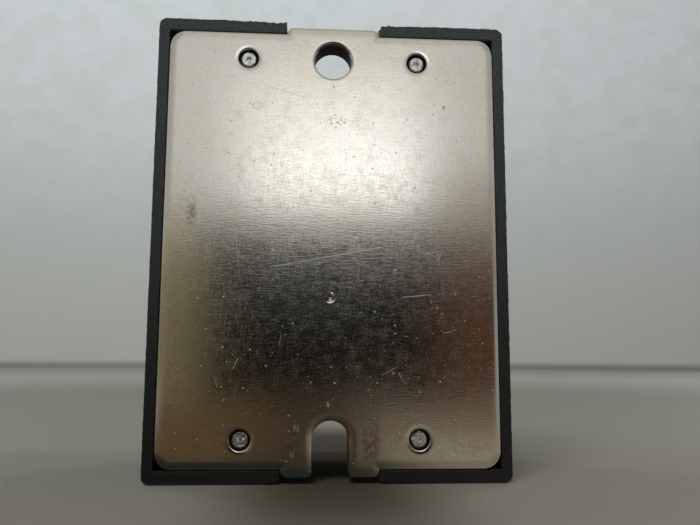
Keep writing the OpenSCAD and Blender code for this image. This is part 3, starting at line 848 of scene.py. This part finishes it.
def label_pieces(material, ink):
    """Satin label with its printed circuit drawing: a switch symbol between 1 and 2, and an input from 3 and 4."""
    (_, _, low), (_, _, high) = label_low, label_high
    mid = (label_low[1] + label_high[1]) / 2
    half_u, half_v = label_high[0], (label_high[1] - label_low[1]) / 2
    points, faces = slab(rectangle(2 * half_u, 2 * half_v, 0.7, 0, mid), low, high, 0.06)
    even_shading(new_object("label_sheet", mesh_from("label_shape", points, faces), "root", material,
                            ["label_plate"]), 90)
    top, thick, fine, row = high + 0.012, 0.03, 0.16, 3.3
    lines = []

    def line(points, width=fine):
        lines.append(stroke([(u, mid + v) for u, v in points], width, top - 0.0007 * (len(lines) % 9), thick,
                            f"print_{len(lines)}"))

    def ring(u, v, r, start=0, end=360, steps=28):
        turns = [radians(start + (end - start) * k / steps) for k in range(steps + 1)]
        line([(u + r * cos(t), v + r * sin(t)) for t in turns])

    edge_u, edge_v = half_u - 0.9, half_v - 0.9
    for su, sv in ((-1, -1), (1, 1)):
        line([(-su * edge_u, sv * edge_v), (su * edge_u, sv * edge_v), (su * edge_u, -sv * edge_v)], 0.22)
    # lines from the terminals to the two symbols
    for s in (-1, 1):
        for v in (row, -row):
            ring(s * 14.2, v, 0.7)
            line([(s * 13.5, v), (s * 5.2, v)])
        line([(s * 1.0, 2.2), (s * 1.0, 4.4)])
        line([(s * 5.2, row), (s * 1.0, row)])
    line([(1.0, 4.3), (-1.0, row), (1.0, 2.3)])
    line([(-5.2, -row), (-0.9, -row)])
    line([(5.2, -row), (0.9, -row)])
    line([(0.9, -4.2), (0.9, -2.4), (-0.75, -row), (0.9, -4.2)])
    line([(-0.9, -4.2), (-0.9, -2.4)])
    for s in (-1, 1):
        line([(0.2 + 0.5 * s, -1.9), (0.2 + 0.5 * s, 1.2)], 0.1)
        line([(0.2 + 0.5 * s - 0.35, 0.7), (0.2 + 0.5 * s, 1.3), (0.2 + 0.5 * s + 0.35, 0.7)], 0.1)
    for side in (8.6, -8.6):
        line([(side - 0.6, 1.3 - row), (side + 0.6, 1.3 - row)], 0.2)
    line([(8.6, -2.6), (8.6, -1.4)], 0.2)
    waves = [(k / 12, 0.55 * sin(2 * pi * k / 12)) for k in range(13)]
    line([(7.9 + 1.6 * t, 4.6 + w * 0.9) for t, w in waves], 0.18)
    marks = [lettering(str(n), 1.9, copysign(16.4, u), mid + copysign(row, v), top, thick,
                       f"print_number_{n}") for n, (u, v) in TERMINALS.items()]
    new_object("label_print", merged("label_print_shape", *lines, *marks), "root", ink)


def led_lens_piece(material):
    low, high = node_box("led_lens")
    u, v = (low[0] + high[0]) / 2, (low[1] + high[1]) / 2
    r, flange_r = 1.75, (high[0] - low[0]) / 2
    bottom, top = low[2], high[2]
    profile = [(0.3, bottom), (flange_r - 0.05, bottom), (flange_r, bottom + 0.05), (flange_r, bottom + 0.55),
               (flange_r - 0.05, bottom + 0.6), (r, bottom + 0.6), (r, top - 0.62)]
    profile += [(r * cos(radians(a)), top - 0.62 + 0.61 * sin(radians(a)))
                for a in range(12, 89, 12)]
    points, faces = lathe(profile, 64)
    mesh = mesh_from("led_lens_shape", moved(points, u, v), faces)
    even_shading(new_object("led_lens_window", mesh, "root", material, ["led_lens"]), 80)


# ---------------------------------------------------------------- stage, lights and camera

EYE = Vector((3.47, 86.81, -13.95))  # the camera, in mm
# the cards that the plate mirrors, in mm
CARD_Y, CARD_HALF_W, CARD_TOP, TABLE_Z, CEILING_Z = 150.0, 260, 260, -28.7, 262
WALL_FOOT, FLOOR_TOP = -18, -28  # heights in mm between which the wall's tone passes into the table's


def stage_piece(name, mesh, material, hidden=False):
    piece = linked(name, mesh)
    mesh.materials.append(material)
    if hidden:
        piece.visible_camera = piece.visible_diffuse = piece.visible_shadow = False
        piece.visible_transmission = piece.visible_volume_scatter = False


def backdrop():
    """A shallow bowl: flat pale floor that curves up into a wall on every side, with painted shade on the table and at
    the wall's foot.
    """
    flat, bend, wall, steps = 0.90, 1.0, 0.6, 128
    floor_z = cad_box[0].z
    profile = [(flat / 2, 0.0), (flat, 0.0)]
    for k in range(1, 17):
        a = pi / 2 * k / 16
        profile.append((flat + bend * sin(a), bend * (1 - cos(a))))
    profile.append((flat + bend, bend + wall))
    bm = bmesh.new()
    rings = [[bm.verts.new(p) for p in circle(0, 0, r, floor_z + z, steps)] for r, z in profile]
    bm.faces.new(rings[0])
    for low, high in zip(rings, rings[1:]):
        for k in range(steps):
            bm.faces.new((low[k], high[k], high[(k + 1) % steps], low[(k + 1) % steps]))
    mesh = mesh_of("backdrop", bm)
    shade(mesh)
    look = Look("pale_table")
    specks = look.ramp(look.noise(1.1, detail=3, seed=51), 0.70, 0.76)
    tone = look.noise(60, detail=3, seed=52)
    colour = look.mix(look.ramp(tone, 0.35, 0.7), (0.62, 0.64, 0.645), (0.58, 0.60, 0.60))
    facing = look.node("LayerWeight", {"Blend": 0.5}).outputs["Facing"]
    x, y, height = look.split()
    on_floor = look.ramp(height, WALL_FOOT, FLOOR_TOP)
    # the relay's shade on the table around the slot
    shaded = look.times(look.ramp(look.math("ABSOLUTE", x), 18, 3),
                       look.times(look.ramp(y, 65, -5), look.ramp(y, -80, -48)))
    wall_foot_shade, horizon_sheen = (0.45, 0.45, 0.415), (0.42, 0.42, 0.385)
    # painted shade and sheen: the table is darker where it is seen at a low angle, paler seen from above, and lighter
    # again towards the horizon
    table = look.mix(look.ramp(facing, 0.35, 0.80), colour, (0.215, 0.207, 0.175))
    table = look.mix(look.ramp(facing, 0.95, 0.985), table, horizon_sheen)
    # painted shade: the wall is darker towards its foot
    colour = look.mix(look.ramp(height, 800, -30), colour, wall_foot_shade)
    colour = look.mix(on_floor, colour, table)
    colour = look.mix(look.times(specks, 0.25), colour, (0.40, 0.40, 0.38))
    colour = look.mix(look.times(shaded, on_floor), colour, (0.066, 0.053, 0.033))
    look.set(Base_Color=colour, Roughness=0.7, Specular_IOR_Level=0.15,
             Normal=look.bump(look.noise(0.6, detail=3, seed=53), 0.02, 0.4))
    stage_piece("backdrop", mesh, look.material)


def seen_at(plate, eye):
    """Where the mirror card shows in the plate: the card's coordinate behind a plate coordinate, in mm."""
    return plate + (plate - eye) * CARD_Y / EYE.y


def glow_card(name, corners, look, colour):
    """A glowing panel with a painted reflection, which only polished surfaces see: it lights nothing and hides
    nothing. Corners in mm.
    """
    mesh = bpy.data.meshes.new(name)
    mesh.from_pydata([Vector(c) * MM for c in corners], [], [(0, 1, 2, 3)])
    look.set(Base_Color=(0, 0, 0), Specular_IOR_Level=0.0, Emission_Color=colour, Emission_Strength=1.0)
    stage_piece(name, mesh, look.material, hidden=True)


def wide_card(near, far):
    """Corners of a card as wide as the others, between two (y, z) edges."""
    return [(x, *edge) for edge, x in ((near, -CARD_HALF_W), (near, CARD_HALF_W), (far, CARD_HALF_W),
                                       (far, -CARD_HALF_W))]


def reflections():
    """Painted reflections in the polished plate, on glowing cards: a bright ceiling over a dark room with brown sides,
    and a dim table.
    """
    look = Look("mirrored_room")
    x, _, z = look.split()

    def across(low, high):
        return look.ramp(x, seen_at(low, EYE.x), seen_at(high, EYE.x))

    def up(low, high):
        return look.ramp(z, seen_at(low, EYE.z), seen_at(high, EYE.z))

    core = look.times(look.times(across(-17, -5), across(17, 5)),
                     look.times(up(-8, 8), up(28, 15)))
    sides = look.times(across(-40, -14), across(40, 17))
    level = look.times(look.times(sides, up(-2, 12)), 0.22)
    level = look.plus(level, look.math("MULTIPLY_ADD", up(28, 36), -0.06, 0.42))
    brow = look.times(look.times(across(-13, -8), across(12, 6)),
                     look.times(up(2, 5), up(15, 8)))
    glare = look.plus(look.times(core, 0.62), look.times(brow, 0.30))
    sky = look.vector("ADD", look.vector("SCALE", (1.0, 0.985, 0.91), scale=level),
                      look.vector("SCALE", (1.0, 1.0, 0.99), scale=glare))
    shade = look.times(across(-9, -18), up(17, 3))
    sky = look.mix(look.times(shade, 0.55), sky, (0.24, 0.185, 0.13))
    fall = look.times(look.math("SUBTRACT", z, seen_at(3.6, EYE.z)), 0.30 / seen_at(1.0, 0.0))
    fall = look.math("MINIMUM", fall, 0.5)
    band = look.plus(look.times(look.math("EXPONENT", fall), 0.26), 0.004)
    room = look.vector("SCALE", (1.0, 0.97, 0.86), scale=band)
    left = look.mix(across(13, 19), (0, 0, 0), (0.175, 0.145, 0.078))
    right = look.mix(across(-10, -17), (0, 0, 0), (0.058, 0.021, 0.008))
    room = look.vector("ADD", look.vector("ADD", room, left), right)
    both = look.mix(up(3.0, 4.8), room, sky)
    window = look.times(look.ramp(x, -110, -150), look.ramp(z, 45, 5))
    both = look.mix(window, both, (0.28, 0.29, 0.28))
    glow_card("mirrored_room", wide_card((CARD_Y, TABLE_Z + 0.1), (CARD_Y, CARD_TOP)), look, both)
    glow_card("mirrored_ceiling", wide_card((-60, CEILING_Z), (CARD_Y, CEILING_Z)), Look("mirrored_ceiling"),
              (0.42, 0.43, 0.33))
    # glowing cards as soft boxes: painted highlights that only show in the fittings of the terminal side
    for side in (-1, 1):
        box = Vector((side * 0.62, -0.60, 0.0))
        across, rise = Vector((0.55, side * 0.60, 0)).normalized() * 0.22, Vector((0, 0, 1))
        corners = (box - across + rise * 0.08, box + across + rise * 0.08,
                   box + across + rise * 0.50, box - across + rise * 0.50)
        glow_card(f"front_box_{'left' if side > 0 else 'right'}", [c / MM for c in corners],
                  Look(f"front_box_{side + 2}"), (1.5, 1.5, 1.48))
    look = Look("mirrored_table")
    x, y, _ = look.split()
    near = look.mix(look.ramp(y, 80, 22), (0.155, 0.118, 0.085), (0.29, 0.25, 0.185))
    tone = look.mix(look.ramp(x, 1, -20), (0.055, 0.038, 0.022), near)
    tone = look.mix(look.ramp(x, 4, 20), tone, (0.10, 0.062, 0.030))
    # painted contact shadow of the relay in the mirrored table
    painted_contact_shadow = look.times(look.ramp(y, 22, 5), look.ramp(x, -15, 2, 0.35, 1.0))
    tone = look.mix(painted_contact_shadow, tone, (0.020, 0.021, 0.017))
    tone = look.mix(look.ramp(look.math("ABSOLUTE", x), 50, 90), tone, (0.25, 0.25, 0.24))
    glow_card("mirrored_table", wide_card((-30, TABLE_Z), (CARD_Y, TABLE_Z)), look, tone)


def soft_light(name, place_at, aim, size, power, colour, spread=180, in_metal=False):
    """Area light, in metres and watts; in_metal says whether polished surfaces show it."""
    data = bpy.data.lights.new(name, "AREA")
    data.spread = radians(spread)
    data.shape, data.size, data.size_y = "RECTANGLE", size[0], size[1]
    data.energy, data.color = power, colour
    lamp = linked(name, data)
    lamp.location = place_at
    lamp.rotation_mode = "QUATERNION"
    lamp.rotation_quaternion = (Vector(aim) - Vector(place_at)).to_track_quat("-Z", "Y")
    lamp.visible_camera, lamp.visible_glossy = False, in_metal


def camera():
    data = bpy.data.cameras.new("camera")
    data.sensor_width, data.lens = 36.0, 36.43
    data.clip_start, data.clip_end = 0.005, 20
    eye = linked("camera", data)
    right = Vector((-0.9978, 0.0666, 0.0047))
    back = Vector((0.0654, 0.9891, -0.1323)).normalized()
    up = back.cross(right).normalized()
    right = up.cross(back)
    turn = Matrix((right, up, back)).transposed().to_4x4()
    eye.matrix_world = Matrix.Translation(EYE * MM) @ turn
    bpy.context.scene.camera = eye


def lights():
    world = bpy.data.worlds.new("studio")
    world.use_nodes = True
    sky = world.node_tree.nodes["Background"].inputs
    sky["Color"].default_value, sky["Strength"].default_value = (0.93, 0.97, 1.0, 1), 0.07
    bpy.context.scene.world = world
    soft_light("front_key", (-0.88, -0.80, 0.25), (0, 0, 0.07), (0.55, 0.34), 0.52, (1, 0.99, 0.97), 40)
    soft_light("front_fill", (0.88, -0.75, 0.23), (0, 0, 0.07), (0.45, 0.30), 0.38, (0.97, 0.99, 1), 40)
    soft_light("high_key", (0.25, 0.60, 0.90), (0, 0, 0), (0.50, 0.40), 7.6, (1, 0.99, 0.97))
    soft_light("wall_wash", (0.22, -0.80, 1.55), (0.27, -1.90, 0.85), (2.2, 0.5), 17, (0.95, 0.99, 1), in_metal=True)
    soft_light("rear_wash", (0.0, 0.80, 1.55), (0.0, 1.90, 0.85), (2.2, 0.5), 8, (0.98, 0.99, 1))


# ---------------------------------------------------------------- build

LOOKS = {
    "plate": plate_metal(),
    "case": moulded_plastic(),
    "fastener_steel": plated_metal("zinc_steel", (0.84, 0.89, 0.92), (0.66, 0.70, 0.73), 0.24, 0.42, seed=60, dirt=0.5,
                                   dents=0.25),
    "terminal_metal": plated_metal("tinned_brass", (0.80, 0.78, 0.72), (0.68, 0.64, 0.54), 0.22, 0.38, seed=65),
    "clamp_steel": plated_metal("nickel_steel", (0.74, 0.74, 0.73), (0.62, 0.61, 0.59), 0.16, 0.30, seed=70),
    "washer_steel": plated_metal("spring_steel", (0.56, 0.57, 0.58), (0.42, 0.42, 0.42), 0.28, 0.45, seed=75),
    "screw_steel": plated_metal("screw_nickel", (0.72, 0.72, 0.70), (0.58, 0.57, 0.54), 0.15, 0.30, seed=80),
    "label": coated("satin_label", (0.56, 0.57, 0.58), (0.51, 0.52, 0.53), 0.36, 0.8, 0.004, 85, coat=0.15),
    "lens": coated("red_window", (0.62, 0.012, 0.008), (0.52, 0.010, 0.007), 0.12, 1.5, 0.003, 90,
                   Transmission_Weight=0.45, IOR=1.49),
    "light": coated("red_epoxy", (0.68, 0.03, 0.02), (0.60, 0.02, 0.015), 0.15, 0.6, 0.003, 95,
                    Transmission_Weight=0.3),
    "board": coated("solder_mask", (0.02, 0.17, 0.06), (0.03, 0.21, 0.08), 0.30, 0.3, 0.006, 100, coat=0.3),
    "ceramic": coated("white_alumina", (0.80, 0.79, 0.76), (0.74, 0.73, 0.70), 0.55, 0.15, 0.006, 105),
    "copper": plated_metal("bonded_copper", (0.80, 0.42, 0.28), (0.62, 0.30, 0.20), 0.28, 0.46, seed=110),
    "silicon": plated_metal("silicon_die", (0.30, 0.32, 0.36), (0.22, 0.24, 0.28), 0.10, 0.20, 0.001, 115, 0.1),
    "component_epoxy": coated("black_epoxy", (0.020, 0.020, 0.021), (0.030, 0.030, 0.030), 0.45, 0.12, 0.012, 120),
    "resistor_body": coated("resistor_lacquer", (0.55, 0.42, 0.27), (0.48, 0.36, 0.22), 0.40, 0.3, 0.010, 125),
    "capacitor_film": coated("yellow_film", (0.62, 0.38, 0.05), (0.55, 0.33, 0.04), 0.35, 0.6, 0.008, 130, coat=0.2),
    "varistor_coat": coated("blue_epoxy", (0.03, 0.09, 0.32), (0.02, 0.07, 0.26), 0.35, 0.5, 0.020, 135, coat=0.2),
    "potting_resin": coated("dark_resin", (0.020, 0.021, 0.024), (0.032, 0.033, 0.036), 0.22, 2.0, 0.020, 140),
}
BEVELS = {"clamp_steel": 0.12, "terminal_metal": 0.10, "fastener_steel": 0.05}
for node in nodes.values():
    slot_name = node.material_slots[0].name
    node.material_slots[0].material = LOOKS[slot_name]
    if slot_name not in ("plate", "case"):
        soften(node, BEVELS.get(slot_name, 0.05))
case_piece(LOOKS["case"])
base_plate_piece(LOOKS["plate"])
for terminal in TERMINALS:
    terminal_screw_piece(terminal, LOOKS["screw_steel"])
    lock_washer_piece(terminal, LOOKS["washer_steel"])
case_marks(LOOKS["case"])
label_pieces(LOOKS["label"], coated("label_ink", (0.018, 0.018, 0.020), (0.030, 0.030, 0.032), 0.4, 0.3, 0.002, 145))
led_lens_piece(LOOKS["lens"])
backdrop()
reflections()
lights()
camera()
view = bpy.context.scene.view_settings
view.view_transform, view.look = "Standard", "None"
